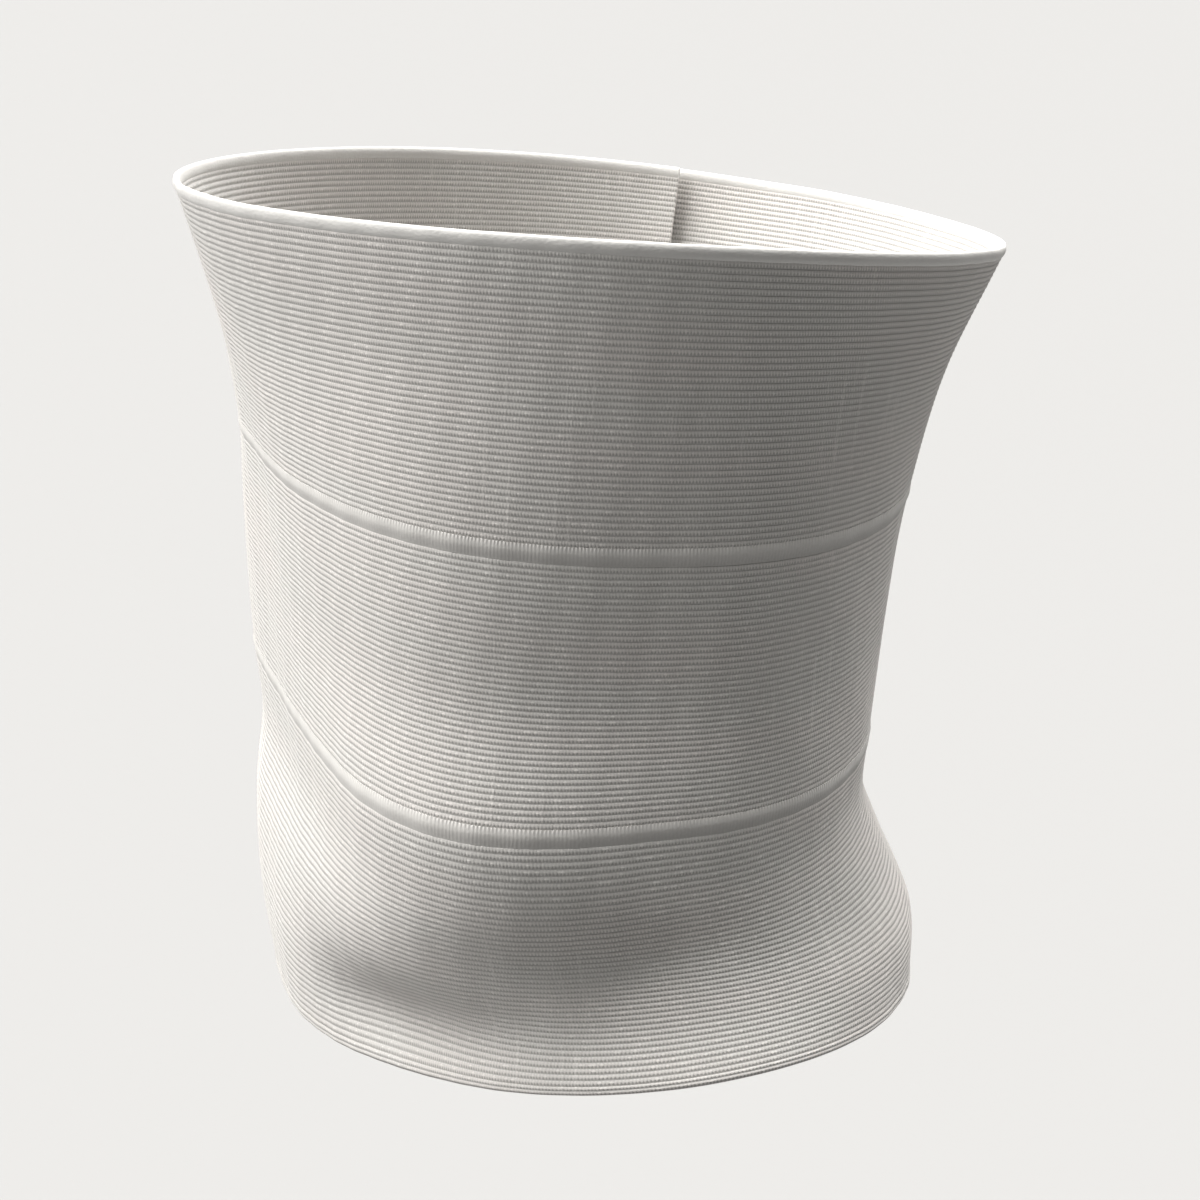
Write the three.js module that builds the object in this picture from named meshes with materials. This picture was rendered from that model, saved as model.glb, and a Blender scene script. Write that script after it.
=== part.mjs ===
// Elastic abdominal binder in its worn form, in millimetres, +Z up.
// The wearer faces -Y, the wearer's left is +X, and the origin is inside the torso at the band's mid height.
// Angles run round the body from the wearer's left, through the back at 90 degrees.

import {
  BoxGeometry,
  CubicInterpolant,
  ExtrudeGeometry,
  Group,
  MathUtils,
  Mesh,
  MeshStandardMaterial,
  Shape,
  Vector2,
  Vector3,
} from 'three';
import { mergeVertices } from 'three/addons/utils/BufferGeometryUtils.js';

// Band, with heights measured along the elastic
const bandHeight = 228.6;
const panelCount = 3;
const panelWall = 1.8;
const pieceGap = 0.3;

// Plain strips that join the panels
const stripHeight = 4.4;
const stripCrown = 0.4;
const stripShoulderShare = 1 / 4;

// Edges of the band
const topEdgeHeight = 3;
const topEdgeWall = 2.6;
const bottomEdgeHeight = 2.4;
const bottomEdgeWall = 2.2;
const edgeCornerShare = 1 / 3;

// Body that the band goes round
const waistWidth = 240;
const waistDepth = 180;
const backSquareness = 2.15;

// Closure on the wearer's right: the outer end laps over the inner end
const innerEndAngle = 150;
const overlapLength = 78;
const hookStripWidth = 50;
const hookStripThickness = 1.2;
const hookStripInset = 3;
const layerGap = 0.5;
const lapRampAngle = 26;

// Fineness of the faceted walls, and of the slopes and lengths measured on the worn surface
const stepsPerTurn = 78;
const rowsPerPanel = 5;
const slopeStep = 0.01;
const lengthSlices = 40;

// Sections of the worn band from its lower edge to its upper edge.
// up: share of the band's height, along the elastic
// rise: height above the origin, as a share of the band's height
// lean: how much the section climbs towards the back, per unit of depth
// dip: how far the sides hang below the front and back, as a share of the band's height
// wide: half width, as a share of half the waist width
// front, back: depth before and behind the origin, as shares of half the waist depth
// square: squareness of the front, 2 for an ellipse
const sections = [
  { up: 0, rise: -0.48, lean: 0.09, dip: -0.028, wide: 1.17, front: 1.02, back: 1.05, square: 2 },
  { up: 1 / 12, rise: -0.4, lean: 0.06, dip: -0.013, wide: 1.095, front: 1.05, back: 1.07, square: 2.5 },
  { up: 1 / 6, rise: -0.315, lean: 0.04, dip: 0.007, wide: 1.05, front: 1.04, back: 0.97, square: 3 },
  { up: 1 / 4, rise: -0.232, lean: 0.02, dip: 0.015, wide: 1.03, front: 1, back: 0.89, square: 3.5 },
  { up: 1 / 3, rise: -0.146, lean: -0.01, dip: 0.015, wide: 1.02, front: 1.02, back: 0.91, square: 3.8 },
  { up: 1 / 2, rise: 0.011, lean: -0.03, dip: 0.018, wide: 1, front: 1.05, back: 0.96, square: 3.8 },
  { up: 2 / 3, rise: 0.174, lean: -0.035, dip: 0.013, wide: 1, front: 1.09, back: 1.03, square: 2.9 },
  { up: 5 / 6, rise: 0.338, lean: -0.045, dip: 0, wide: 1.01, front: 1.18, back: 1.15, square: 2.3 },
  { up: 1, rise: 0.51, lean: -0.07, dip: -0.009, wide: 1.04, front: 1.33, back: 1.35, square: 2 },
];

// Soft hollows and swells of the band: the groin crease, its tail towards the hip, the swell over the belly
// and the slack under the waist.
// angle: place round the body in degrees, up: place as a share of the band's height
// depth: as a share of the waist depth, negative for a swell
// across: spread in degrees, tall: spread as a share of the height
const hollows = [
  { angle: -40, up: 0.062, depth: 0.072, across: 15, tall: 0.04 },
  { angle: -22, up: 0.15, depth: 0.022, across: 14, tall: 0.045 },
  { angle: -24, up: 0.29, depth: -0.04, across: 15, tall: 0.1 },
  { angle: -40, up: 0.47, depth: 0.026, across: 18, tall: 0.11 },
];

const knitMaterial = new MeshStandardMaterial({ color: 0xe9e7e1, roughness: 0.9, metalness: 0 });
const plainMaterial = new MeshStandardMaterial({ color: 0xf0efea, roughness: 0.75, metalness: 0 });
const hookMaterial = new MeshStandardMaterial({ color: 0xe2e0d8, roughness: 0.6, metalness: 0 });

const columns = ['rise', 'lean', 'dip', 'wide', 'front', 'back', 'square'];
const sectionCurve = new CubicInterpolant(
  sections.map((section) => section.up),
  sections.flatMap((section) => columns.map((column) => section[column])),
  columns.length,
);

function sectionAt(up) {
  const values = sectionCurve.evaluate(MathUtils.clamp(up, 0, 1));
  return Object.fromEntries(columns.map((column, index) => [column, values[index]]));
}

function hollowDepth(angle, up) {
  let depth = 0;
  for (const hollow of hollows) {
    const turned = MathUtils.euclideanModulo(MathUtils.radToDeg(angle) - hollow.angle + 180, 360) - 180;
    const around = turned / hollow.across;
    const along = (up - hollow.up) / hollow.tall;
    depth += hollow.depth * waistDepth * Math.exp(-(around ** 2 + along ** 2) / 2);
  }
  return depth;
}

// Point on the outer face of the worn band, before the lap
function facePoint(angle, up) {
  const { rise, lean, dip, wide, front, back, square } = sectionAt(up);
  const halfWidth = (wide * waistWidth) / 2;
  const halfDepth = ((front + back) * waistDepth) / 4;
  const middle = ((back - front) * waistDepth) / 4;
  const power = Math.sin(angle) > 0 ? backSquareness : square;
  const across = Math.abs(Math.cos(angle) / halfWidth) ** power;
  const through = Math.abs(Math.sin(angle) / halfDepth) ** power;
  const radius = (across + through) ** (-1 / power) - hollowDepth(angle, up);
  const x = radius * Math.cos(angle);
  const y = middle + radius * Math.sin(angle);
  const sag = dip * bandHeight * ((x / halfWidth) ** 2 - ((y - middle) / halfDepth) ** 2);
  return new Vector3(x, y, rise * bandHeight + lean * y - sag);
}

function faceNormal(angle, up) {
  const low = Math.max(up - slopeStep, 0);
  const high = Math.min(up + slopeStep, 1);
  const along = facePoint(angle + slopeStep, up).sub(facePoint(angle - slopeStep, up));
  const upward = facePoint(angle, high).sub(facePoint(angle, low));
  return along.cross(upward).normalize();
}

// Millimetres along the elastic for each radian round the body, at mid height
function faceStretch(angle) {
  const before = facePoint(angle - slopeStep, 0.5);
  const after = facePoint(angle + slopeStep, 0.5);
  return before.distanceTo(after) / (2 * slopeStep);
}

// Angle reached after a length of elastic, counted from a starting angle
function angleAfter(start, length) {
  let angle = start;
  for (let slice = 0; slice < lengthSlices; slice += 1) {
    angle += length / lengthSlices / faceStretch(angle);
  }
  return angle;
}

const innerEnd = MathUtils.degToRad(innerEndAngle);
const fullTurn = innerEnd + 2 * Math.PI;
const outerEnd = angleAfter(fullTurn, overlapLength);
const hookClearance = stripCrown + layerGap;
const lapLift = hookClearance + hookStripThickness + layerGap + panelWall;

// The outer layer climbs just before it reaches the inner end
function liftAt(angle) {
  const ramp = MathUtils.degToRad(lapRampAngle);
  return lapLift * MathUtils.smoothstep(angle, fullTurn - ramp, fullTurn);
}

// Angles of the facet edges between two angles, the same on both layers of the lap
function stationsBetween(startAngle, endAngle) {
  const step = (2 * Math.PI) / stepsPerTurn;
  const first = Math.floor((startAngle - innerEnd) / step) + 1;
  const stations = [startAngle];
  for (let angle = innerEnd + first * step; angle < endAngle; angle += step) {
    stations.push(angle);
  }
  return [...stations, endAngle];
}

// Lays a flat piece on the worn band. In the flat piece x is the height along the elastic,
// y stands out of the band's outer face and z runs from 0 at its start to 1 at its end.
function wrap(flat, stations, lift) {
  flat.deleteAttribute('normal');
  flat.deleteAttribute('uv');
  const geometry = mergeVertices(flat);
  const position = geometry.getAttribute('position');
  const point = new Vector3();
  for (let index = 0; index < position.count; index += 1) {
    point.fromBufferAttribute(position, index);
    const angle = stations[Math.round(point.z * (stations.length - 1))];
    const up = point.x / bandHeight;
    const laid = facePoint(angle, up).addScaledVector(faceNormal(angle, up), point.y + lift(angle));
    position.setXYZ(index, laid.x, laid.y, laid.z);
  }
  geometry.computeVertexNormals();
  return geometry;
}

// Plain wall between two heights, in even rows
function flatWall(low, high, rows, inner, outer, steps) {
  const wall = new BoxGeometry(high - low, outer - inner, 1, rows, 1, steps);
  return wall.translate((low + high) / 2, (inner + outer) / 2, 0.5);
}

function flatStrip(section, steps) {
  return new ExtrudeGeometry(section, { depth: 1, steps, bevelEnabled: false });
}

// Section whose outer face swells to a crown between two heights
function crownedSection(low, high, inner, crown) {
  const shoulder = (high - low) * stripShoulderShare;
  return new Shape([
    new Vector2(low, inner),
    new Vector2(high, inner),
    new Vector2(high, 0),
    new Vector2(high - shoulder, crown),
    new Vector2(low + shoulder, crown),
    new Vector2(low, 0),
  ]);
}

// Rounded bead, thicker than the panels on both faces
function beadSection(low, high, wall) {
  const swell = (wall - panelWall) / 2;
  const inner = -panelWall - swell;
  const corner = Math.min(high - low, wall) * edgeCornerShare;
  return new Shape([
    new Vector2(low + corner, inner),
    new Vector2(high - corner, inner),
    new Vector2(high, inner + corner),
    new Vector2(high, swell - corner),
    new Vector2(high - corner, swell),
    new Vector2(low + corner, swell),
    new Vector2(low, swell - corner),
    new Vector2(low, inner + corner),
  ]);
}

// Heights of the pieces, from the lower edge up, with a gap under every piece but the lowest
const stripCount = panelCount - 1;
const gapCount = panelCount + stripCount + 1;
const trimHeight = bottomEdgeHeight + topEdgeHeight + stripCount * stripHeight + gapCount * pieceGap;
const panelHeight = (bandHeight - trimHeight) / panelCount;
const lowerPanelLow = bottomEdgeHeight + pieceGap;
const lowerStripLow = lowerPanelLow + panelHeight + pieceGap;
const middlePanelLow = lowerStripLow + stripHeight + pieceGap;
const upperStripLow = middlePanelLow + panelHeight + pieceGap;
const upperPanelLow = upperStripLow + stripHeight + pieceGap;
const topEdgeLow = upperPanelLow + panelHeight + pieceGap;

const bandStations = stationsBetween(innerEnd, outerEnd);
const bandSteps = bandStations.length - 1;

function pieceOf(name, geometry, material) {
  const mesh = new Mesh(geometry, material);
  mesh.name = name;
  return mesh;
}

function panel(name, low) {
  const flat = flatWall(low, low + panelHeight, rowsPerPanel, -panelWall, 0, bandSteps);
  return pieceOf(name, wrap(flat, bandStations, liftAt), knitMaterial);
}

function joiningStrip(name, low) {
  const section = crownedSection(low, low + stripHeight, -panelWall, stripCrown);
  return pieceOf(name, wrap(flatStrip(section, bandSteps), bandStations, liftAt), plainMaterial);
}

function edge(name, low, height, wall) {
  const section = beadSection(low, low + height, wall);
  return pieceOf(name, wrap(flatStrip(section, bandSteps), bandStations, liftAt), plainMaterial);
}

// Plain fastening strip between the two layers, as tall as the panels together
function hookStrip() {
  const end = angleAfter(innerEnd, overlapLength - hookStripInset);
  const start = angleAfter(innerEnd, overlapLength - hookStripInset - hookStripWidth);
  const stations = stationsBetween(start, end);
  const high = topEdgeLow - pieceGap;
  const inner = hookClearance;
  const outer = inner + hookStripThickness;
  const rows = panelCount * rowsPerPanel;
  const flat = flatWall(lowerPanelLow, high, rows, inner, outer, stations.length - 1);
  return pieceOf('closure_hook_strip', wrap(flat, stations, () => 0), hookMaterial);
}

const binder = new Group();
binder.add(
  edge('bottom_edge', 0, bottomEdgeHeight, bottomEdgeWall),
  panel('lower_panel', lowerPanelLow),
  joiningStrip('lower_joining_strip', lowerStripLow),
  panel('middle_panel', middlePanelLow),
  joiningStrip('upper_joining_strip', upperStripLow),
  panel('upper_panel', upperPanelLow),
  edge('top_edge', topEdgeLow, topEdgeHeight, topEdgeWall),
  hookStrip(),
);

export default binder;
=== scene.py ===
"""Elastic abdominal binder in its worn form: ribbed panels, joining strips, edges and a lapped closure.

Every piece is knitted flat, as length along the elastic, height and thickness.
It is then laid on the worn surface.
"""

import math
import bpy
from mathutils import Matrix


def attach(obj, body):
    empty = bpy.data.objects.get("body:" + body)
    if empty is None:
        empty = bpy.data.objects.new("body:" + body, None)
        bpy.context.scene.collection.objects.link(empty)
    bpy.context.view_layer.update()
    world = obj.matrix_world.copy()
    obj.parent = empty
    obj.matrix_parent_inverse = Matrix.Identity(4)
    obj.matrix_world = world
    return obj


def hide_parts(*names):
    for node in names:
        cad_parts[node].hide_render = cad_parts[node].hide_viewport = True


bl_info = {
    "name": "Abdominal Binder",
    "version": (1, 0, 0),
    "blender": (4, 5, 0),
    "location": "3D View > Sidebar > Binder",
    "description": "Knits an elastic abdominal binder round its packed solids and sets up a plain studio",
    "category": "Add Mesh",
}

import bmesh
import bpy
import numpy as np
from bpy.props import FloatProperty, FloatVectorProperty, IntProperty, PointerProperty
from mathutils import Matrix, Vector

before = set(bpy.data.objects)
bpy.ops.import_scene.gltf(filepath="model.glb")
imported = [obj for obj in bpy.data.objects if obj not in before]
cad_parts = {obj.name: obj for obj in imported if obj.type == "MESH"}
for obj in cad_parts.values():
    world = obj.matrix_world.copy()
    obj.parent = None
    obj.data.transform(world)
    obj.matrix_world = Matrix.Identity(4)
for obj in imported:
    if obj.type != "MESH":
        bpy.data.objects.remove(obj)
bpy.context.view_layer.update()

# Sections of the worn band from its lower edge to its upper edge.
# up: share of the band's height, along the elastic
# rise: height above the origin, as a share of the band's height
# lean: how much the section climbs towards the back, per unit of depth
# dip: how far the sides hang below the front and back, as a share of the band's height
# wide: half width, as a share of half the waist width
# front, back: depth before and behind the origin, as shares of half the waist depth
# square: squareness of the front, 2 for an ellipse
SECTION_COLUMNS = ("up", "rise", "lean", "dip", "wide", "front", "back", "square")
SECTIONS = (
    (0, -0.48, 0.09, -0.028, 1.17, 1.02, 1.05, 2),
    (1 / 12, -0.4, 0.06, -0.013, 1.095, 1.05, 1.07, 2.5),
    (1 / 6, -0.315, 0.04, 0.007, 1.05, 1.04, 0.97, 3),
    (1 / 4, -0.232, 0.02, 0.015, 1.03, 1, 0.89, 3.5),
    (1 / 3, -0.146, -0.01, 0.015, 1.02, 1.02, 0.91, 3.8),
    (1 / 2, 0.011, -0.03, 0.018, 1, 1.05, 0.96, 3.8),
    (2 / 3, 0.174, -0.035, 0.013, 1, 1.09, 1.03, 2.9),
    (5 / 6, 0.338, -0.045, 0, 1.01, 1.18, 1.15, 2.3),
    (1, 0.51, -0.07, -0.009, 1.04, 1.33, 1.35, 2),
)

# Soft hollows and swells of the band: the groin crease, its tail towards the hip, the swell over the belly
# and the slack under the waist.
# angle, across: place and spread round the body in degrees
# up, tall: place and spread as shares of the band's height
# depth: as a share of the waist depth, negative for a swell
HOLLOW_COLUMNS = ("angle", "up", "depth", "across", "tall")
HOLLOWS = (
    (-40, 0.062, 0.072, 15, 0.04),
    (-22, 0.15, 0.022, 14, 0.045),
    (-24, 0.29, -0.04, 15, 0.1),
    (-40, 0.47, 0.026, 18, 0.11),
)

# Unevenness of the cloth, as the products and sums of waves.
# around: waves round the band
# upward: radians for each metre up the band
# phase: radians at the inner end's lower corner
RIPPLE_COLUMNS = ("around", "upward", "phase")
SLOW_RIPPLE = (17, 41, 0)
SLOW_CHANGE = (5, 53, 0)
QUICK_RIPPLE = (61, -97, 1.3)
SLOW_SHARE = 0.7

# Welt and teeth of a joining strip.
# WELT_SLANT: above 1, the welt is fullest above its middle
# TOOTH_CHANGE: how much the teeth differ, as a share of their height
# TOOTH_WAVES: radians for each metre of the two waves that make them differ
# TOOTH_PHASE: radians between those waves
WELT_SLANT = 1.4
TOOTH_CHANGE = 0.3
TOOTH_WAVES = (2300, 790)
TOOTH_PHASE = 2

# Lower edge: how soon it reaches its full thickness, and the thickness of its rim as a share of that
RIM_ROUNDING = 1.6
RIM_THINNESS = 0.45
RIM_ROWS = 8

# Mesh of the fastening strip, and its hooks along one metre
HOOK_COLUMNS = 20
HOOK_ROWS = 90
HOOK_COUNT = 1000

# Soft lights of one colour.
# turn: direction round the object in degrees, from the wearer's left
# climb: height angle in degrees
# spread: softness in degrees
# strength: watts on each square metre that faces the light
LAMP_COLUMNS = ("name", "turn", "climb", "spread", "strength")
LAMPS = (
    ("front_light", 258, 52, 45, 4.9),
    ("side_light", 205, 3, 45, 0.9),
    ("top_light", 134, 70, 45, 6.2),
)
LAMP_COLOUR = (1, 0.985, 0.96)

# Camera's film width in millimetres and nearest depth in metres
FILM_WIDTH = 36
NEAREST = 0.01

# Metres beyond the origin, along -X, over which the floor turns pale
FLOOR_BLEND = 0.5

FULL_TURN = 2 * math.pi

# Steps and samples that measure the worn surface. The samples go further round than the lap does.
SLOPE_STEP = 0.01
LENGTH_SAMPLES = 2400
SAMPLED_TURNS = 1.6

# Folds sharper than this keep a hard edge in the shading
SHARP_ANGLE = math.radians(60)


class BinderSizes(bpy.types.PropertyGroup):
    """Sizes of the band, its edges and its closure, as in the solids."""

    band_height: FloatProperty(
        name="Band Height", description="Height along the elastic", default=0.2286, unit="LENGTH"
    )
    panel_count: IntProperty(name="Panels", description="Ribbed panels in the band", default=3, min=1)
    panel_wall: FloatProperty(
        name="Panel Wall", description="Thickness of the knit", default=0.0018, unit="LENGTH"
    )
    piece_gap: FloatProperty(
        name="Gap", description="Gap between the solids", default=0.0003, unit="LENGTH"
    )
    strip_height: FloatProperty(
        name="Strip Height", description="Height of a joining strip", default=0.0044, unit="LENGTH"
    )
    strip_crown: FloatProperty(
        name="Strip Crown", description="Swell of a joining strip", default=0.0004, unit="LENGTH"
    )
    top_height: FloatProperty(
        name="Top Edge Height", description="Height of the upper edge", default=0.003, unit="LENGTH"
    )
    top_wall: FloatProperty(
        name="Top Edge Wall", description="Thickness of the upper edge", default=0.0026, unit="LENGTH"
    )
    low_height: FloatProperty(
        name="Lower Edge Height", description="Height of the lower edge", default=0.0024, unit="LENGTH"
    )
    low_wall: FloatProperty(
        name="Lower Edge Wall", description="Thickness of the lower edge", default=0.0022, unit="LENGTH"
    )
    waist_width: FloatProperty(
        name="Waist Width", description="Width of the worn waist", default=0.24, unit="LENGTH"
    )
    waist_depth: FloatProperty(
        name="Waist Depth", description="Depth of the worn waist", default=0.18, unit="LENGTH"
    )
    back_square: FloatProperty(name="Back Squareness", description="2 for an elliptical back", default=2.15)
    inner_end: FloatProperty(
        name="Inner End", description="Where the inner layer ends",
        default=math.radians(150), subtype="ANGLE",
    )
    overlap: FloatProperty(name="Overlap", description="Length of the lap", default=0.078, unit="LENGTH")
    hook_width: FloatProperty(
        name="Hook Strip Width", description="Width of the fastening strip", default=0.05, unit="LENGTH"
    )
    hook_wall: FloatProperty(
        name="Hook Strip Wall", description="Thickness of the fastening strip",
        default=0.0012, unit="LENGTH",
    )
    hook_inset: FloatProperty(
        name="Hook Strip Inset", description="From the outer end", default=0.003, unit="LENGTH"
    )
    layer_gap: FloatProperty(
        name="Layer Gap", description="Room between lapped layers", default=0.0005, unit="LENGTH"
    )
    lap_ramp: FloatProperty(
        name="Lap Ramp", description="Turn over which the outer layer climbs",
        default=math.radians(26), subtype="ANGLE",
    )


class BinderKnit(bpy.types.PropertyGroup):
    """Fineness and relief of the knit."""

    ribs: IntProperty(name="Ribs", description="Ribs in each panel", default=43, min=4)
    rib_depth: FloatProperty(
        name="Rib Depth", description="Depth of the groove between ribs", default=0.00016, unit="LENGTH"
    )
    rows_per_rib: IntProperty(
        name="Rows per Rib", description="Mesh rows across each rib", default=4, min=2
    )
    columns: IntProperty(name="Columns", description="Mesh columns round a panel", default=220, min=20)
    stitch: FloatProperty(
        name="Stitch", description="Length of one stitch along a rib", default=0.0009, unit="LENGTH"
    )
    tooth: FloatProperty(
        name="Tooth", description="Length of one tooth on a strip's border", default=0.001, unit="LENGTH"
    )
    tooth_height: FloatProperty(
        name="Tooth Height", description="Height of a strip's teeth", default=0.0004, unit="LENGTH"
    )
    steps_per_tooth: IntProperty(
        name="Steps per Tooth", description="Mesh columns in each tooth", default=4, min=2
    )
    welt: FloatProperty(name="Welt", description="Swell of a joining strip", default=0.00035, unit="LENGTH")
    welt_rows: IntProperty(
        name="Welt Rows", description="Mesh rows across a joining strip", default=8, min=4
    )
    edge_courses: IntProperty(
        name="Edge Courses", description="Fine courses in the lower edge", default=2, min=1
    )
    edge_stitch: FloatProperty(
        name="Edge Stitch", description="Length of one stitch in the lower edge",
        default=0.0009, unit="LENGTH",
    )
    edge_segments: IntProperty(
        name="Edge Segments", description="Sides of the upper edge's profile", default=24, min=6
    )
    edge_fullness: FloatProperty(
        name="Edge Fullness", description="Thickness of the upper edge, as a share of its solid's",
        default=0.85,
    )
    edge_steps: IntProperty(
        name="Edge Steps", description="Mesh columns round an edge", default=420, min=20
    )
    stretch: FloatProperty(name="Stretch", description="Worn length over slack length", default=1.12, min=1)
    ripple: FloatProperty(
        name="Ripple", description="Unevenness of the cloth", default=0.00025, unit="LENGTH"
    )


class BinderColours(bpy.types.PropertyGroup):
    """Colours of the elastic and of the studio."""

    thread: FloatVectorProperty(
        name="Thread", description="Covered ribs", size=3, subtype="COLOR", default=(0.75, 0.735, 0.71)
    )
    warm_thread: FloatVectorProperty(
        name="Warm Thread", description="Ribs where the knit is warmer",
        size=3, subtype="COLOR", default=(0.77, 0.735, 0.71),
    )
    # Painted shade: this colour darkens the knit between the ribs and the lower part of each joining strip.
    groove: FloatVectorProperty(
        name="Groove", description="Between the ribs", size=3, subtype="COLOR", default=(0.48, 0.47, 0.455)
    )
    trim: FloatVectorProperty(
        name="Trim", description="Upper rim", size=3, subtype="COLOR", default=(0.77, 0.76, 0.74)
    )
    hook: FloatVectorProperty(
        name="Hook", description="Fastening strip", size=3, subtype="COLOR", default=(0.72, 0.7, 0.65)
    )
    floor: FloatVectorProperty(
        name="Floor", description="Studio floor behind the object",
        size=3, subtype="COLOR", default=(0.27, 0.27, 0.27),
    )
    near_floor: FloatVectorProperty(
        name="Near Floor", description="Studio floor before the object",
        size=3, subtype="COLOR", default=(0.14, 0.14, 0.14),
    )


class BinderStudio(bpy.types.PropertyGroup):
    """Camera and lights, at the photograph's viewing angle."""

    azimuth: FloatProperty(
        name="Azimuth", description="Camera's turn round the object",
        default=math.radians(74.55), subtype="ANGLE",
    )
    elevation: FloatProperty(
        name="Elevation", description="Camera's height angle", default=math.radians(14.29), subtype="ANGLE"
    )
    roll: FloatProperty(
        name="Roll", description="Camera's roll", default=math.radians(0.7), subtype="ANGLE"
    )
    distance: FloatProperty(name="Distance", description="From the origin", default=0.856, unit="LENGTH")
    lens: FloatProperty(name="Lens", description="Focal length in millimetres", default=84.33)
    shift: FloatVectorProperty(name="Shift", description="Camera shift", size=2, default=(0.0179, -0.0151))
    sky: FloatProperty(name="Sky", description="Strength of the even light", default=0.02)
    floor_drop: FloatProperty(
        name="Floor Drop", description="Floor below the origin", default=0.55, unit="LENGTH"
    )
    floor_reach: FloatProperty(
        name="Floor Reach", description="Half width of the floor", default=30, unit="LENGTH"
    )


def sizes():
    return bpy.context.scene.binder_sizes


def knit():
    return bpy.context.scene.binder_knit


def section_at(up):
    """Section values at shares of the band's height, on a cubic through the table's rows."""
    table = np.array(SECTIONS, dtype=float)
    at, values = table[:, 0], table[:, 1:]
    up = np.clip(np.asarray(up, dtype=float), 0, 1)
    after = np.clip(np.searchsorted(at, up, side="right"), 1, len(at) - 1)
    before = after - 1
    previous = np.where(before > 0, before - 1, after)
    following = np.where(after < len(at) - 1, after + 1, before)
    half = (at[after] - at[before]) / 2
    pull_back = half / (at[before] - at[previous])
    pull_on = half / (at[following] - at[after])
    p = (up - at[before]) / (at[after] - at[before])
    weights = (
        (previous, -pull_back * p**3 + 2 * pull_back * p**2 - pull_back * p),
        (before, (1 + pull_back) * p**3 + (-1.5 - 2 * pull_back) * p**2 + (-0.5 + pull_back) * p + 1),
        (after, (-1 - pull_on) * p**3 + (1.5 + pull_on) * p**2 + 0.5 * p),
        (following, pull_on * p**3 - pull_on * p**2),
    )
    found = sum(values[row] * weight[..., None] for row, weight in weights)
    return dict(zip(SECTION_COLUMNS[1:], np.moveaxis(found, -1, 0)))


def hollow_depth(angle, up):
    depth = 0
    for row in HOLLOWS:
        hollow = dict(zip(HOLLOW_COLUMNS, row))
        turned = (np.degrees(angle) - hollow["angle"] + 180) % 360 - 180
        around = turned / hollow["across"]
        along = (up - hollow["up"]) / hollow["tall"]
        depth = depth + hollow["depth"] * sizes().waist_depth * np.exp(-(around**2 + along**2) / 2)
    return depth


def face_point(angle, up):
    """Points on the outer face of the worn band, before the lap."""
    size = sizes()
    row = section_at(up)
    half_width = row["wide"] * size.waist_width / 2
    half_depth = (row["front"] + row["back"]) * size.waist_depth / 4
    middle = (row["back"] - row["front"]) * size.waist_depth / 4
    power = np.where(np.sin(angle) > 0, size.back_square, row["square"])
    across = np.abs(np.cos(angle) / half_width) ** power
    through = np.abs(np.sin(angle) / half_depth) ** power
    radius = (across + through) ** (-1 / power) - hollow_depth(angle, up)
    x = radius * np.cos(angle)
    y = middle + radius * np.sin(angle)
    sag = row["dip"] * size.band_height * ((x / half_width) ** 2 - ((y - middle) / half_depth) ** 2)
    return np.stack((x, y, row["rise"] * size.band_height + row["lean"] * y - sag), axis=-1)


def face_normal(angle, up):
    along = face_point(angle + SLOPE_STEP, up) - face_point(angle - SLOPE_STEP, up)
    over = face_point(angle, np.minimum(up + SLOPE_STEP, 1))
    under = face_point(angle, np.maximum(up - SLOPE_STEP, 0))
    normal = np.cross(along, over - under)
    return normal / np.linalg.norm(normal, axis=-1, keepdims=True)


def elastic():
    """Angles round the body from the inner end, and the length of elastic laid to reach them."""
    size = sizes()
    angles = np.linspace(size.inner_end, size.inner_end + SAMPLED_TURNS * FULL_TURN, LENGTH_SAMPLES)
    points = face_point(angles, 0.5)
    steps = np.linalg.norm(np.diff(points, axis=0), axis=1)
    return angles, np.concatenate(([0], np.cumsum(steps)))


def girth():
    angles, lengths = elastic()
    return float(np.interp(sizes().inner_end + FULL_TURN, angles, lengths))


def band_length():
    return girth() + sizes().overlap


def lap_lift(angle):
    """The outer layer climbs just before it reaches the inner end."""
    size = sizes()
    lift = size.strip_crown + size.hook_wall + 2 * size.layer_gap + size.panel_wall
    share = np.clip((angle - size.inner_end - FULL_TURN + size.lap_ramp) / size.lap_ramp, 0, 1)
    return lift * share**2 * (3 - 2 * share)


def laid(flat, lapped=True):
    """Flat places (length along the elastic, height, distance out of the face) laid on the worn surface."""
    length, height, out = flat.T
    angles, lengths = elastic()
    angle = np.interp(length, lengths, angles)
    up = height / sizes().band_height
    if lapped:
        out = out + lap_lift(angle)
    return face_point(angle, up) + face_normal(angle, up) * out[:, None]


def courses():
    """Lowest and highest place of each piece on the flat band. They meet halfway across the solids' gaps."""
    size = sizes()
    strips = size.panel_count - 1
    gaps = size.panel_count + strips + 1
    trim = size.low_height + size.top_height + strips * size.strip_height + gaps * size.piece_gap
    panel = (size.band_height - trim) / size.panel_count
    stack = (
        ("bottom_edge", size.low_height),
        ("lower_panel", panel),
        ("lower_joining_strip", size.strip_height),
        ("middle_panel", panel),
        ("upper_joining_strip", size.strip_height),
        ("upper_panel", panel),
        ("top_edge", size.top_height),
    )
    found = {}
    low = 0
    for index, (name, height) in enumerate(stack):
        under = size.piece_gap / 2 if index else 0
        over = size.piece_gap / 2 if index < len(stack) - 1 else 0
        found[name] = (low - under, low + height + over)
        low += height + size.piece_gap
    return found


def wave(length, height, row):
    wanted = dict(zip(RIPPLE_COLUMNS, row))
    turn = FULL_TURN * wanted["around"] / band_length()
    return np.sin(turn * length + wanted["upward"] * height + wanted["phase"])


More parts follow.
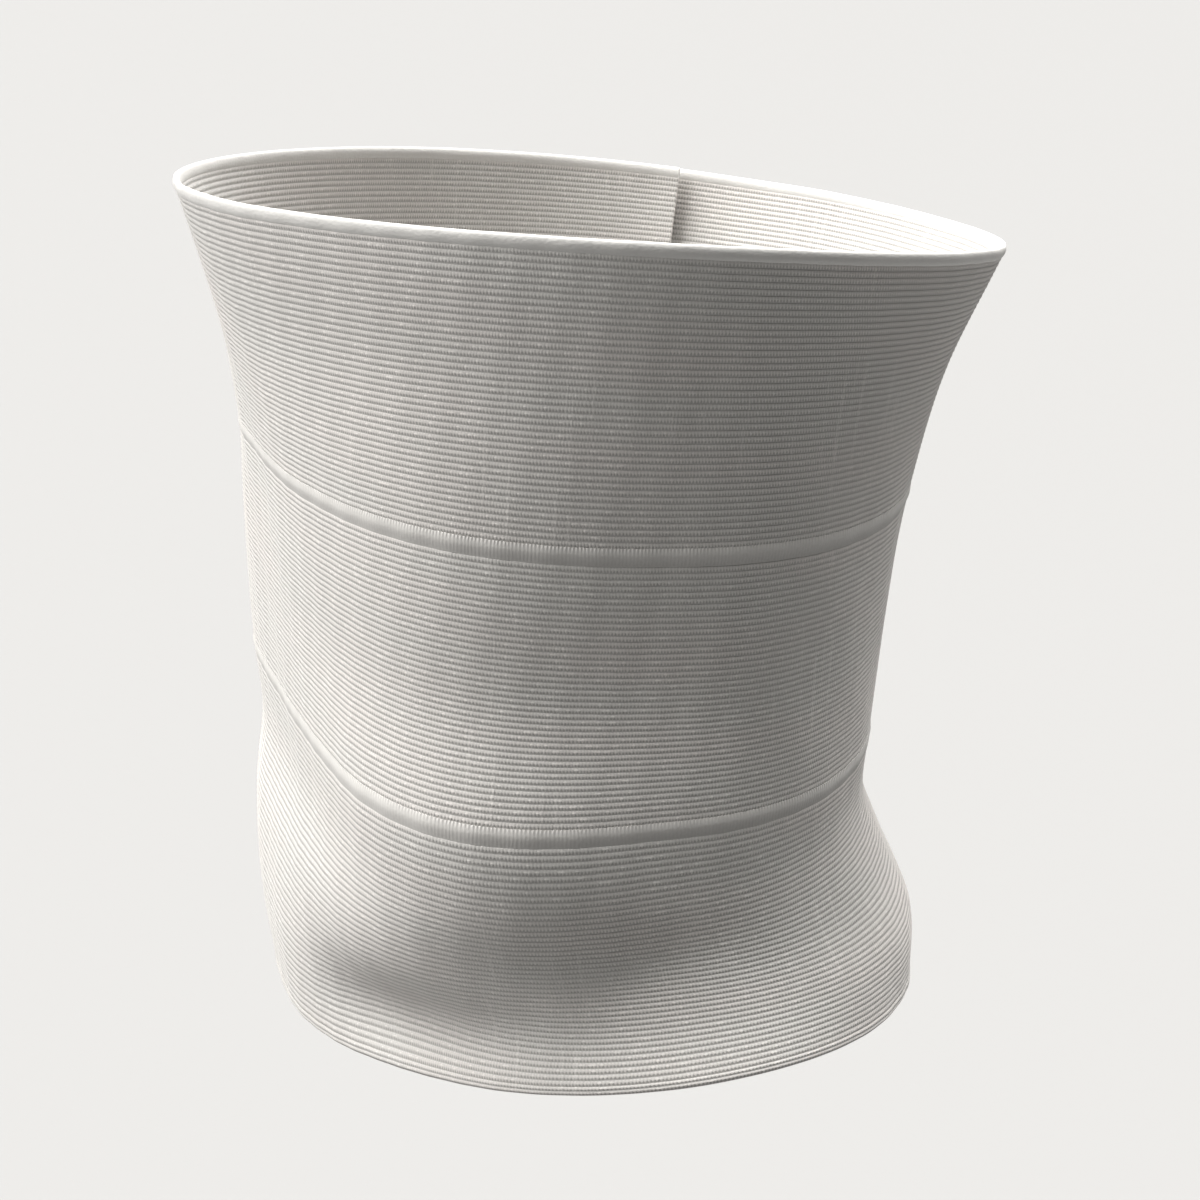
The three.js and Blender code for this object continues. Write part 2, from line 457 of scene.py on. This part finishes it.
def ripple(length, height):
    """Unevenness of the stretched cloth, between -1 and 1."""
    slow = wave(length, height, SLOW_RIPPLE) * wave(length, height, SLOW_CHANGE)
    return SLOW_SHARE * slow + (1 - SLOW_SHARE) * wave(length, height, QUICK_RIPPLE)


def flat_wall(columns, rows, length, low, high, wall):
    """Flat closed wall in even columns and rows, with its outer face at the top."""
    cloth = bmesh.new()
    bmesh.ops.create_grid(cloth, x_segments=columns, y_segments=rows, size=0.5)
    start, end = length
    bmesh.ops.scale(cloth, vec=(end - start, high - low, 1), verts=cloth.verts)
    bmesh.ops.translate(cloth, vec=((start + end) / 2, (low + high) / 2, 0), verts=cloth.verts)
    bmesh.ops.solidify(cloth, geom=cloth.faces[:], thickness=wall)
    bmesh.ops.recalc_face_normals(cloth, faces=cloth.faces[:])
    return cloth


def piece(name, cloth, shape, stitches, material, lapped=True):
    """Object made of a flat bmesh, which shape finishes while it is still flat.

    stitches counts its first places in stitches and courses, for the pattern of its material.
    """
    mesh = bpy.data.meshes.new(name)
    cloth.to_mesh(mesh)
    cloth.free()
    places = np.empty(len(mesh.vertices) * 3)
    mesh.vertices.foreach_get("co", places)
    places = places.reshape(-1, 3)
    outer = places[:, 2] > (places[:, 2].min() + places[:, 2].max()) / 2
    pattern = mesh.attributes.new("stitches", "FLOAT_VECTOR", "POINT")
    pattern.data.foreach_set("vector", stitches(places, outer).ravel())
    mesh.vertices.foreach_set("co", laid(shape(places, outer), lapped).ravel())
    mesh.shade_smooth()
    mesh.set_sharp_from_angle(angle=SHARP_ANGLE)
    mesh.update()
    made = bpy.data.objects.new(name, mesh)
    bpy.context.scene.collection.objects.link(made)
    mesh.materials.append(material)
    return made


def dress(made, node):
    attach(made, "root")
    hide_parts(node)


def stretched(made, low, high, trims=()):
    """Works out the size a panel is knitted to before it is stretched round the body; the size is not kept.
    """
    flat = (band_length() / knit().stretch, high - low)


def ribbed_panel(node):
    """Panel whose ribs stand out of both faces."""
    size, ribs = sizes(), knit()
    low, high = courses()[node]
    pitch = (high - low) / ribs.ribs

    def rib(height):
        return np.sin(np.pi * (height - low) / pitch) ** 2

    def shape(places, outer):
        length, height, _ = places.T
        groove = ribs.rib_depth * (1 - rib(height))
        out = np.where(outer, -groove, groove - size.panel_wall) + ribs.ripple * ripple(length, height)
        return np.stack((length, height, out), axis=-1)

    def stitches(places, outer):
        return np.stack((places[:, 0] / ribs.stitch, (places[:, 1] - low) / pitch, outer), axis=-1)

    rows = ribs.ribs * ribs.rows_per_rib
    cloth = flat_wall(ribs.columns, rows, (0, band_length()), low, high, size.panel_wall)
    made = piece(node + "_knit", cloth, shape, stitches, knit_finish())
    dress(made, node)
    return made


def joining_strip(node):
    """Smooth welt between two panels, fullest above its middle, with small teeth on its upper border."""
    size, detail = sizes(), knit()
    low, high = courses()[node]
    columns = int(band_length() / detail.tooth) * detail.steps_per_tooth

    def shape(places, outer):
        length, height, _ = places.T
        share = np.clip((height - low) / (high - low), 0, 1)
        tooth = np.abs((length / detail.tooth) % 1 * 2 - 1)
        quick, slow = TOOTH_WAVES
        uneven = 1 - TOOTH_CHANGE * (1 - np.sin(quick * length) * np.sin(slow * length + TOOTH_PHASE))
        rise = detail.tooth_height * share**3 * tooth * uneven
        swell = detail.welt * np.sin(np.pi * share**WELT_SLANT) - detail.rib_depth * (1 - share)
        out = np.where(outer, swell, -size.panel_wall) + detail.ripple * ripple(length, height)
        return np.stack((length, height + np.where(outer, rise, 0), out), axis=-1)

    def stitches(places, outer):
        return np.stack((places[:, 0] / detail.tooth, (places[:, 1] - low) / (high - low), outer), axis=-1)

    cloth = flat_wall(columns, detail.welt_rows, (0, band_length()), low, high, size.panel_wall)
    made = piece(node + "_knit", cloth, shape, stitches, trim_finish())
    dress(made, node)
    return made


def bottom_edge():
    """Narrow edge of finer knit along the lower rim, rounded under."""
    size, detail = sizes(), knit()
    low, high = courses()["bottom_edge"]
    swell = (size.low_wall - size.panel_wall) / 2

    def shape(places, outer):
        length, height, _ = places.T
        share = (height - low) / (high - low)
        rounded = np.sqrt(np.clip(1 - (1 - np.minimum(share * RIM_ROUNDING, 1)) ** 2, 0, 1))
        courses_out = swell * np.sin(np.pi * share * detail.edge_courses) ** 2
        half = (size.panel_wall / 2 + courses_out) * (RIM_THINNESS + (1 - RIM_THINNESS) * rounded)
        out = np.where(outer, half, -half) - size.panel_wall / 2 + detail.ripple * ripple(length, height)
        return np.stack((length, height, out), axis=-1)

    def stitches(places, outer):
        share = (places[:, 1] - low) / (high - low)
        return np.stack((places[:, 0] / detail.edge_stitch, share * detail.edge_courses, outer), axis=-1)

    cloth = flat_wall(detail.edge_steps, RIM_ROWS, (0, band_length()), low, high, size.panel_wall)
    made = piece("bottom_edge_knit", cloth, shape, stitches, knit_finish())
    dress(made, "bottom_edge")
    return made


def top_bead():
    """Rounded edge along the upper rim, whose flanks meet the panel's faces at its upper border."""
    size, detail = sizes(), knit()
    low, high = courses()["top_edge"]
    flank = math.sqrt(1 - (size.panel_wall / size.top_wall / detail.edge_fullness) ** 2)
    half_height = (high - low) / (1 + flank)
    bead = bmesh.new()
    bmesh.ops.create_circle(bead, cap_ends=True, segments=detail.edge_segments, radius=0.5)
    bmesh.ops.rotate(bead, matrix=Matrix.Rotation(math.pi / 2, 3, "Y"), verts=bead.verts)
    bmesh.ops.scale(bead, vec=(1, 2 * half_height, size.top_wall * detail.edge_fullness), verts=bead.verts)
    bmesh.ops.translate(bead, vec=(0, high - half_height, -size.panel_wall / 2), verts=bead.verts)
    step = (band_length() / detail.edge_steps, 0, 0)
    bmesh.ops.spin(
        bead, geom=bead.faces[:], cent=(0, 0, 0), axis=(1, 0, 0), dvec=step, angle=0, steps=detail.edge_steps
    )
    bmesh.ops.recalc_face_normals(bead, faces=bead.faces[:])

    def shape(places, outer):
        length, height, out = places.T
        out = out + detail.ripple * ripple(length, height)
        return np.stack((length, np.minimum(height, size.band_height), out), axis=-1)

    def stitches(places, outer):
        return np.stack((places[:, 0] / detail.stitch, (places[:, 1] - low) / (high - low), outer), axis=-1)

    made = piece("top_edge_bead", bead, shape, stitches, selvage_finish())
    dress(made, "top_edge")
    return made


def hook_strip():
    """Plain fastening strip between the two layers of the lap."""
    size = sizes()
    low = courses()["lower_panel"][0] + size.piece_gap / 2
    high = courses()["upper_panel"][1] - size.piece_gap / 2
    end = size.overlap - size.hook_inset
    inner = size.strip_crown + size.layer_gap

    def shape(places, outer):
        length, height, _ = places.T
        return np.stack((length, height, np.where(outer, inner + size.hook_wall, inner)), axis=-1)

    def stitches(places, outer):
        return np.stack((places[:, 0] * HOOK_COUNT, places[:, 1] * HOOK_COUNT, outer), axis=-1)

    cloth = flat_wall(HOOK_COLUMNS, HOOK_ROWS, (end - size.hook_width, end), low, high, size.hook_wall)
    return piece("closure_hook_fabric", cloth, shape, stitches, hook_finish(), lapped=False)


class Value:
    """A number that varies over a surface. Expressions on it add the Math nodes that work it out."""

    def __init__(self, paint, socket):
        self.paint = paint
        self.socket = socket

    def math(self, operation, *others):
        inputs = dict(enumerate((self, *others)))
        return self.paint.add("ShaderNodeMath", {"operation": operation}, inputs).value()

    def __add__(self, other):
        return self.math("ADD", other)

    __radd__ = __add__

    def __mul__(self, other):
        return self.math("MULTIPLY", other)

    __rmul__ = __mul__

    def __sub__(self, other):
        return self.math("SUBTRACT", other)

    def __rsub__(self, other):
        return (self * -1) + other

    def __mod__(self, other):
        return self.math("FLOORED_MODULO", other)

    def floor(self):
        return self.math("FLOOR")

    def absolute(self):
        return self.math("ABSOLUTE")

    def sine(self):
        return self.math("SINE")

    def rising(self, low, high):
        """0 below low, 1 above high and smooth between."""
        inputs = {"Value": self, "From Min": low, "From Max": high}
        return self.paint.add("ShaderNodeMapRange", {"interpolation_type": "SMOOTHSTEP"}, inputs).value()


class Added:
    """A node that has been added to a finish."""

    def __init__(self, paint, node):
        self.paint = paint
        self.node = node

    def value(self, output=0):
        return Value(self.paint, self.node.outputs[output])


class Finish:
    """A procedural material, and the one way in which its nodes are added."""

    def __init__(self, name):
        self.material = bpy.data.materials.new(name)
        self.material.use_nodes = True
        self.tree = self.material.node_tree
        self.shader = self.tree.nodes["Principled BSDF"]

    def add(self, kind, settings=None, inputs=None):
        node = self.tree.nodes.new(kind)
        for name, setting in (settings or {}).items():
            setattr(node, name, setting)
        for name, value in (inputs or {}).items():
            self.feed(node.inputs[name], value)
        return Added(self, node)

    def feed(self, socket, value):
        if isinstance(value, Value):
            self.tree.links.new(value.socket, socket)
        else:
            socket.default_value = value

    def stitches(self):
        """Place on the flat knit, counted in stitches along and courses up, and 1 on the outer face."""
        place = self.add("ShaderNodeAttribute", {"attribute_name": "stitches"}).value("Vector")
        split = self.add("ShaderNodeSeparateXYZ", inputs={"Vector": place})
        return split.value("X"), split.value("Y"), split.value("Z")

    def across(self):
        """Place along the object's own X axis, in metres."""
        place = self.add("ShaderNodeTexCoord").value("Object")
        return self.add("ShaderNodeSeparateXYZ", inputs={"Vector": place}).value("X")

    def at(self, x, y):
        return self.add("ShaderNodeCombineXYZ", inputs={"X": x, "Y": y}).value()

    def noise(self, place, scale, detail=2.0):
        inputs = {"Vector": place, "Scale": scale, "Detail": detail}
        return self.add("ShaderNodeTexNoise", inputs=inputs).value(0)

    def chance(self, place):
        """One even draw between 0 and 1 for each place."""
        settings = {"noise_dimensions": "2D"}
        return self.add("ShaderNodeTexWhiteNoise", settings, {"Vector": place}).value("Value")

    def mix(self, factor, first, second):
        inputs = {0: factor, 6: first, 7: second}
        return self.add("ShaderNodeMix", {"data_type": "RGBA"}, inputs).value(2)

    def relief(self, height, distance):
        inputs = {"Height": height, "Distance": distance, "Strength": 1.0}
        return self.add("ShaderNodeBump", inputs=inputs).value("Normal")

    def finish(self, colour, roughness, normal, sheen):
        self.feed(self.shader.inputs["Base Color"], colour)
        self.feed(self.shader.inputs["Roughness"], roughness)
        self.feed(self.shader.inputs["Normal"], normal)
        self.shader.inputs["Sheen Weight"].default_value = sheen
        self.shader.inputs["Sheen Roughness"].default_value = 0.5
        self.shader.inputs["Specular IOR Level"].default_value = 0.25
        return self.material


def opaque(colour, share=1.0):
    return (*(share * part for part in colour), 1.0)


def knit_finish():
    """Ribbed elastic: light ribs with toothed lower borders, painted shade in grey grooves, cross threads and
    bright knots.
    """
    colours = bpy.context.scene.binder_colours
    paint = Finish("ribbed_elastic")
    along, up, _ = paint.stitches()
    course = up.floor()
    drift = paint.noise(paint.at(along * 0.13, course * 3.7), 1.0)
    place = along + course * 0.5 + drift * 1.5
    tooth = 1 - (place % 1 * 2 - 1).absolute()
    phase = up % 1
    rib = (phase + tooth * 0.42).rising(0.42, 0.62) * (1 - phase.rising(0.84, 1))
    fade = paint.noise(paint.at(along * 0.02, up * 0.07), 1.0).rising(0.35, 0.7)
    threads = paint.noise(paint.at(along * 0.5, up * 0.035), 1.0, 3.0).rising(0.56, 0.68) * fade
    grain = paint.noise(paint.at(along * 1.9, up * 3.1), 1.0, 3.0)
    knots = paint.chance(paint.at(place.floor(), course)).rising(0.8, 0.97) * (1 - phase.rising(0.55, 0.8))
    raised = rib * (0.62 + tooth * 0.26 + knots * 0.5)
    sunk = (1 - rib) * (threads * 0.4 + tooth * 0.35)
    cover_and_shade = raised + sunk + threads * 0.1 + (grain - 0.5) * 0.5
    clouds = paint.noise(paint.at(along * 0.009, up * 0.06), 1.0)
    thread = paint.mix(clouds.rising(0.35, 0.65), opaque(colours.thread), opaque(colours.warm_thread))
    # Painted shade: away from the rib mask the colour falls to the grey groove colour, darkening the grooves
    # between the ribs.
    colour = paint.mix(cover_and_shade + clouds * 0.12 - 0.06, opaque(colours.groove), thread)
    height = rib * (0.5 + tooth * 0.3 + knots * 0.4) + threads * 0.25 + grain * 0.4
    normal = paint.relief(height, 0.0002)
    return paint.finish(colour, 0.9 - rib * 0.1, normal, 0.12)


def trim_finish():
    """Close knit of a strip: fine threads across it, with painted shade towards its lower border and a
    painted highlight along its toothed upper border.
    """
    colours = bpy.context.scene.binder_colours
    paint = Finish("plain_elastic")
    along, up, _ = paint.stitches()
    drift = paint.noise(paint.at(along * 0.2, up * 0.5), 1.0)
    fine = ((along + drift) * FULL_TURN).sine() * 0.5 + 0.5
    grain = paint.noise(paint.at(along * 1.3, up * 5), 1.0, 3.0)
    # Painted light: the colour runs from the grey groove colour at the lower border up to thread colour, and
    # the upper border is painted brighter, as on a welt lit from above.
    border = up.rising(0.72, 0.98)
    cover_and_shade = up.rising(0.05, 0.8) * 0.55 + border * fine * 0.5 + fine * 0.08 + grain * 0.35
    colour = paint.mix(cover_and_shade, opaque(colours.groove), opaque(colours.thread))
    normal = paint.relief(fine * (0.15 + border * 0.6) + grain * 0.4, 0.0002)
    return paint.finish(colour, 0.85 - grain * 0.1, normal, 0.12)


def selvage_finish():
    """Smooth bright edging of the upper rim."""
    colours = bpy.context.scene.binder_colours
    paint = Finish("smooth_selvage")
    along, up, _ = paint.stitches()
    grain = paint.noise(paint.at(along * 0.8, up * 4), 1.0, 3.0)
    colour = paint.mix(grain, opaque(colours.trim, 0.9), opaque(colours.trim))
    return paint.finish(colour, 0.75 - grain * 0.1, paint.relief(grain, 0.00015), 0.12)


def hook_finish():
    """Fastening fabric with rows of tiny hooks."""
    colours = bpy.context.scene.binder_colours
    paint = Finish("hook_fabric")
    along, up, _ = paint.stitches()
    dots = (along * FULL_TURN).sine() * (up * FULL_TURN).sine()
    grain = paint.noise(paint.at(along, up), 1.4, 3.0)
    colour = paint.mix(dots * 0.3 + grain, opaque(colours.hook, 0.7), opaque(colours.hook))
    return paint.finish(colour, 0.75 - dots * 0.1, paint.relief(dots + grain, 0.0002), 0.0)


def floor_finish():
    """Plain pale floor, darker before the object so that its near side keeps its shading."""
    colours = bpy.context.scene.binder_colours
    paint = Finish("studio_floor")
    behind = (paint.across() * -1).rising(0, FLOOR_BLEND)
    colour = paint.mix(behind, opaque(colours.near_floor), opaque(colours.floor))
    paint.feed(paint.shader.inputs["Base Color"], colour)
    paint.shader.inputs["Roughness"].default_value = 0.95
    paint.shader.inputs["Specular IOR Level"].default_value = 0.1
    return paint.material


class BINDER_OT_middle_panel(bpy.types.Operator):
    """Knits the middle ribbed panel"""

    bl_idname = "binder.middle_panel"
    bl_label = "Middle Panel"

    def execute(self, context):
        stretched(ribbed_panel("middle_panel"), *courses()["middle_panel"])
        return {"FINISHED"}


class BINDER_OT_upper_panel(bpy.types.Operator):
    """Knits the upper ribbed panel with its joining strip and the rounded upper edge"""

    bl_idname = "binder.upper_panel"
    bl_label = "Upper Panel"

    def execute(self, context):
        made = ribbed_panel("upper_panel")
        trims = (joining_strip("upper_joining_strip"), top_bead())
        stretched(made, *courses()["upper_panel"], trims=trims)
        return {"FINISHED"}


class BINDER_OT_lower_panel(bpy.types.Operator):
    """Knits the lower ribbed panel with its joining strip and the fine lower edge"""

    bl_idname = "binder.lower_panel"
    bl_label = "Lower Panel"

    def execute(self, context):
        made = ribbed_panel("lower_panel")
        trims = (joining_strip("lower_joining_strip"), bottom_edge())
        stretched(made, *courses()["lower_panel"], trims=trims)
        return {"FINISHED"}


class BINDER_OT_closure(bpy.types.Operator):
    """Adds the fastening strip between the lapped ends"""

    bl_idname = "binder.closure"
    bl_label = "Closure"

    def execute(self, context):
        dress(hook_strip(), "closure_hook_strip")
        return {"FINISHED"}


class BINDER_OT_studio(bpy.types.Operator):
    """Sets up the floor, the soft light and the camera"""

    bl_idname = "binder.studio"
    bl_label = "Studio"

    def execute(self, context):
        studio = context.scene.binder_studio
        ground = bmesh.new()
        bmesh.ops.create_grid(ground, x_segments=1, y_segments=1, size=studio.floor_reach)
        bmesh.ops.translate(ground, vec=(0, 0, -studio.floor_drop), verts=ground.verts)
        mesh = bpy.data.meshes.new("studio_floor")
        ground.to_mesh(mesh)
        ground.free()
        mesh.materials.append(floor_finish())
        floor = bpy.data.objects.new("studio_floor", mesh)
        context.scene.collection.objects.link(floor)

        for row in LAMPS:
            soft_lamp(context.scene, **dict(zip(LAMP_COLUMNS, row)))

        world = bpy.data.worlds.new("studio_sky")
        world.use_nodes = True
        world.node_tree.nodes["Background"].inputs["Color"].default_value = (1, 1, 1, 1)
        world.node_tree.nodes["Background"].inputs["Strength"].default_value = studio.sky
        context.scene.world = world
        context.scene.view_settings.view_transform = "Standard"
        set_camera(context.scene, studio)
        return {"FINISHED"}


def soft_lamp(scene, name, turn, climb, spread, strength):
    lamp = bpy.data.lights.new(name, "SUN")
    lamp.energy = strength
    lamp.angle = math.radians(spread)
    lamp.color = LAMP_COLOUR
    held = bpy.data.objects.new(name, lamp)
    scene.collection.objects.link(held)
    turn, climb = math.radians(turn), math.radians(climb)
    towards = Vector((math.cos(climb) * math.cos(turn), math.cos(climb) * math.sin(turn), math.sin(climb)))
    held.rotation_euler = towards.to_track_quat("Z", "Y").to_euler()


def set_camera(scene, studio):
    turn, climb, roll = studio.azimuth, studio.elevation, studio.roll
    back = Vector((math.sin(turn) * math.cos(climb), -math.cos(turn) * math.cos(climb), math.sin(climb)))
    right = Vector((math.cos(turn), math.sin(turn), 0))
    up = back.cross(right)
    tilted = right * math.cos(roll) + up * math.sin(roll)
    upright = up * math.cos(roll) - right * math.sin(roll)
    lens = bpy.data.cameras.new("camera")
    lens.lens = studio.lens
    lens.sensor_width = FILM_WIDTH
    lens.shift_x, lens.shift_y = studio.shift
    lens.clip_start = NEAREST
    camera = bpy.data.objects.new("camera", lens)
    scene.collection.objects.link(camera)
    turned = Matrix((tilted, upright, back)).transposed().to_4x4()
    camera.matrix_world = Matrix.Translation(back * studio.distance) @ turned
    scene.camera = camera


class BINDER_PT_panel(bpy.types.Panel):
    """Lists the binder's pieces and its studio"""

    bl_idname = "BINDER_PT_panel"
    bl_label = "Abdominal Binder"
    bl_space_type = "VIEW_3D"
    bl_region_type = "UI"
    bl_category = "Binder"

    def draw(self, context):
        for operator in OPERATORS:
            self.layout.operator(operator.bl_idname)
        for kept, kind in GROUPS.items():
            column = self.layout.column()
            for name in kind.__annotations__:
                column.prop(getattr(context.scene, kept), name)


GROUPS = {
    "binder_sizes": BinderSizes,
    "binder_knit": BinderKnit,
    "binder_colours": BinderColours,
    "binder_studio": BinderStudio,
}
OPERATORS = (
    BINDER_OT_lower_panel,
    BINDER_OT_middle_panel,
    BINDER_OT_upper_panel,
    BINDER_OT_closure,
    BINDER_OT_studio,
)


def register():
    for name, group in GROUPS.items():
        bpy.utils.register_class(group)
        setattr(bpy.types.Scene, name, PointerProperty(type=group))
    for made in (*OPERATORS, BINDER_PT_panel):
        bpy.utils.register_class(made)


def unregister():
    for made in (BINDER_PT_panel, *reversed(OPERATORS)):
        bpy.utils.unregister_class(made)
    for name, group in GROUPS.items():
        delattr(bpy.types.Scene, name)
        bpy.utils.unregister_class(group)


def main():
    register()
    bpy.ops.binder.studio()
    bpy.ops.binder.lower_panel()
    bpy.ops.binder.middle_panel()
    bpy.ops.binder.upper_panel()
    bpy.ops.binder.closure()


if __name__ == "__main__":
    main()
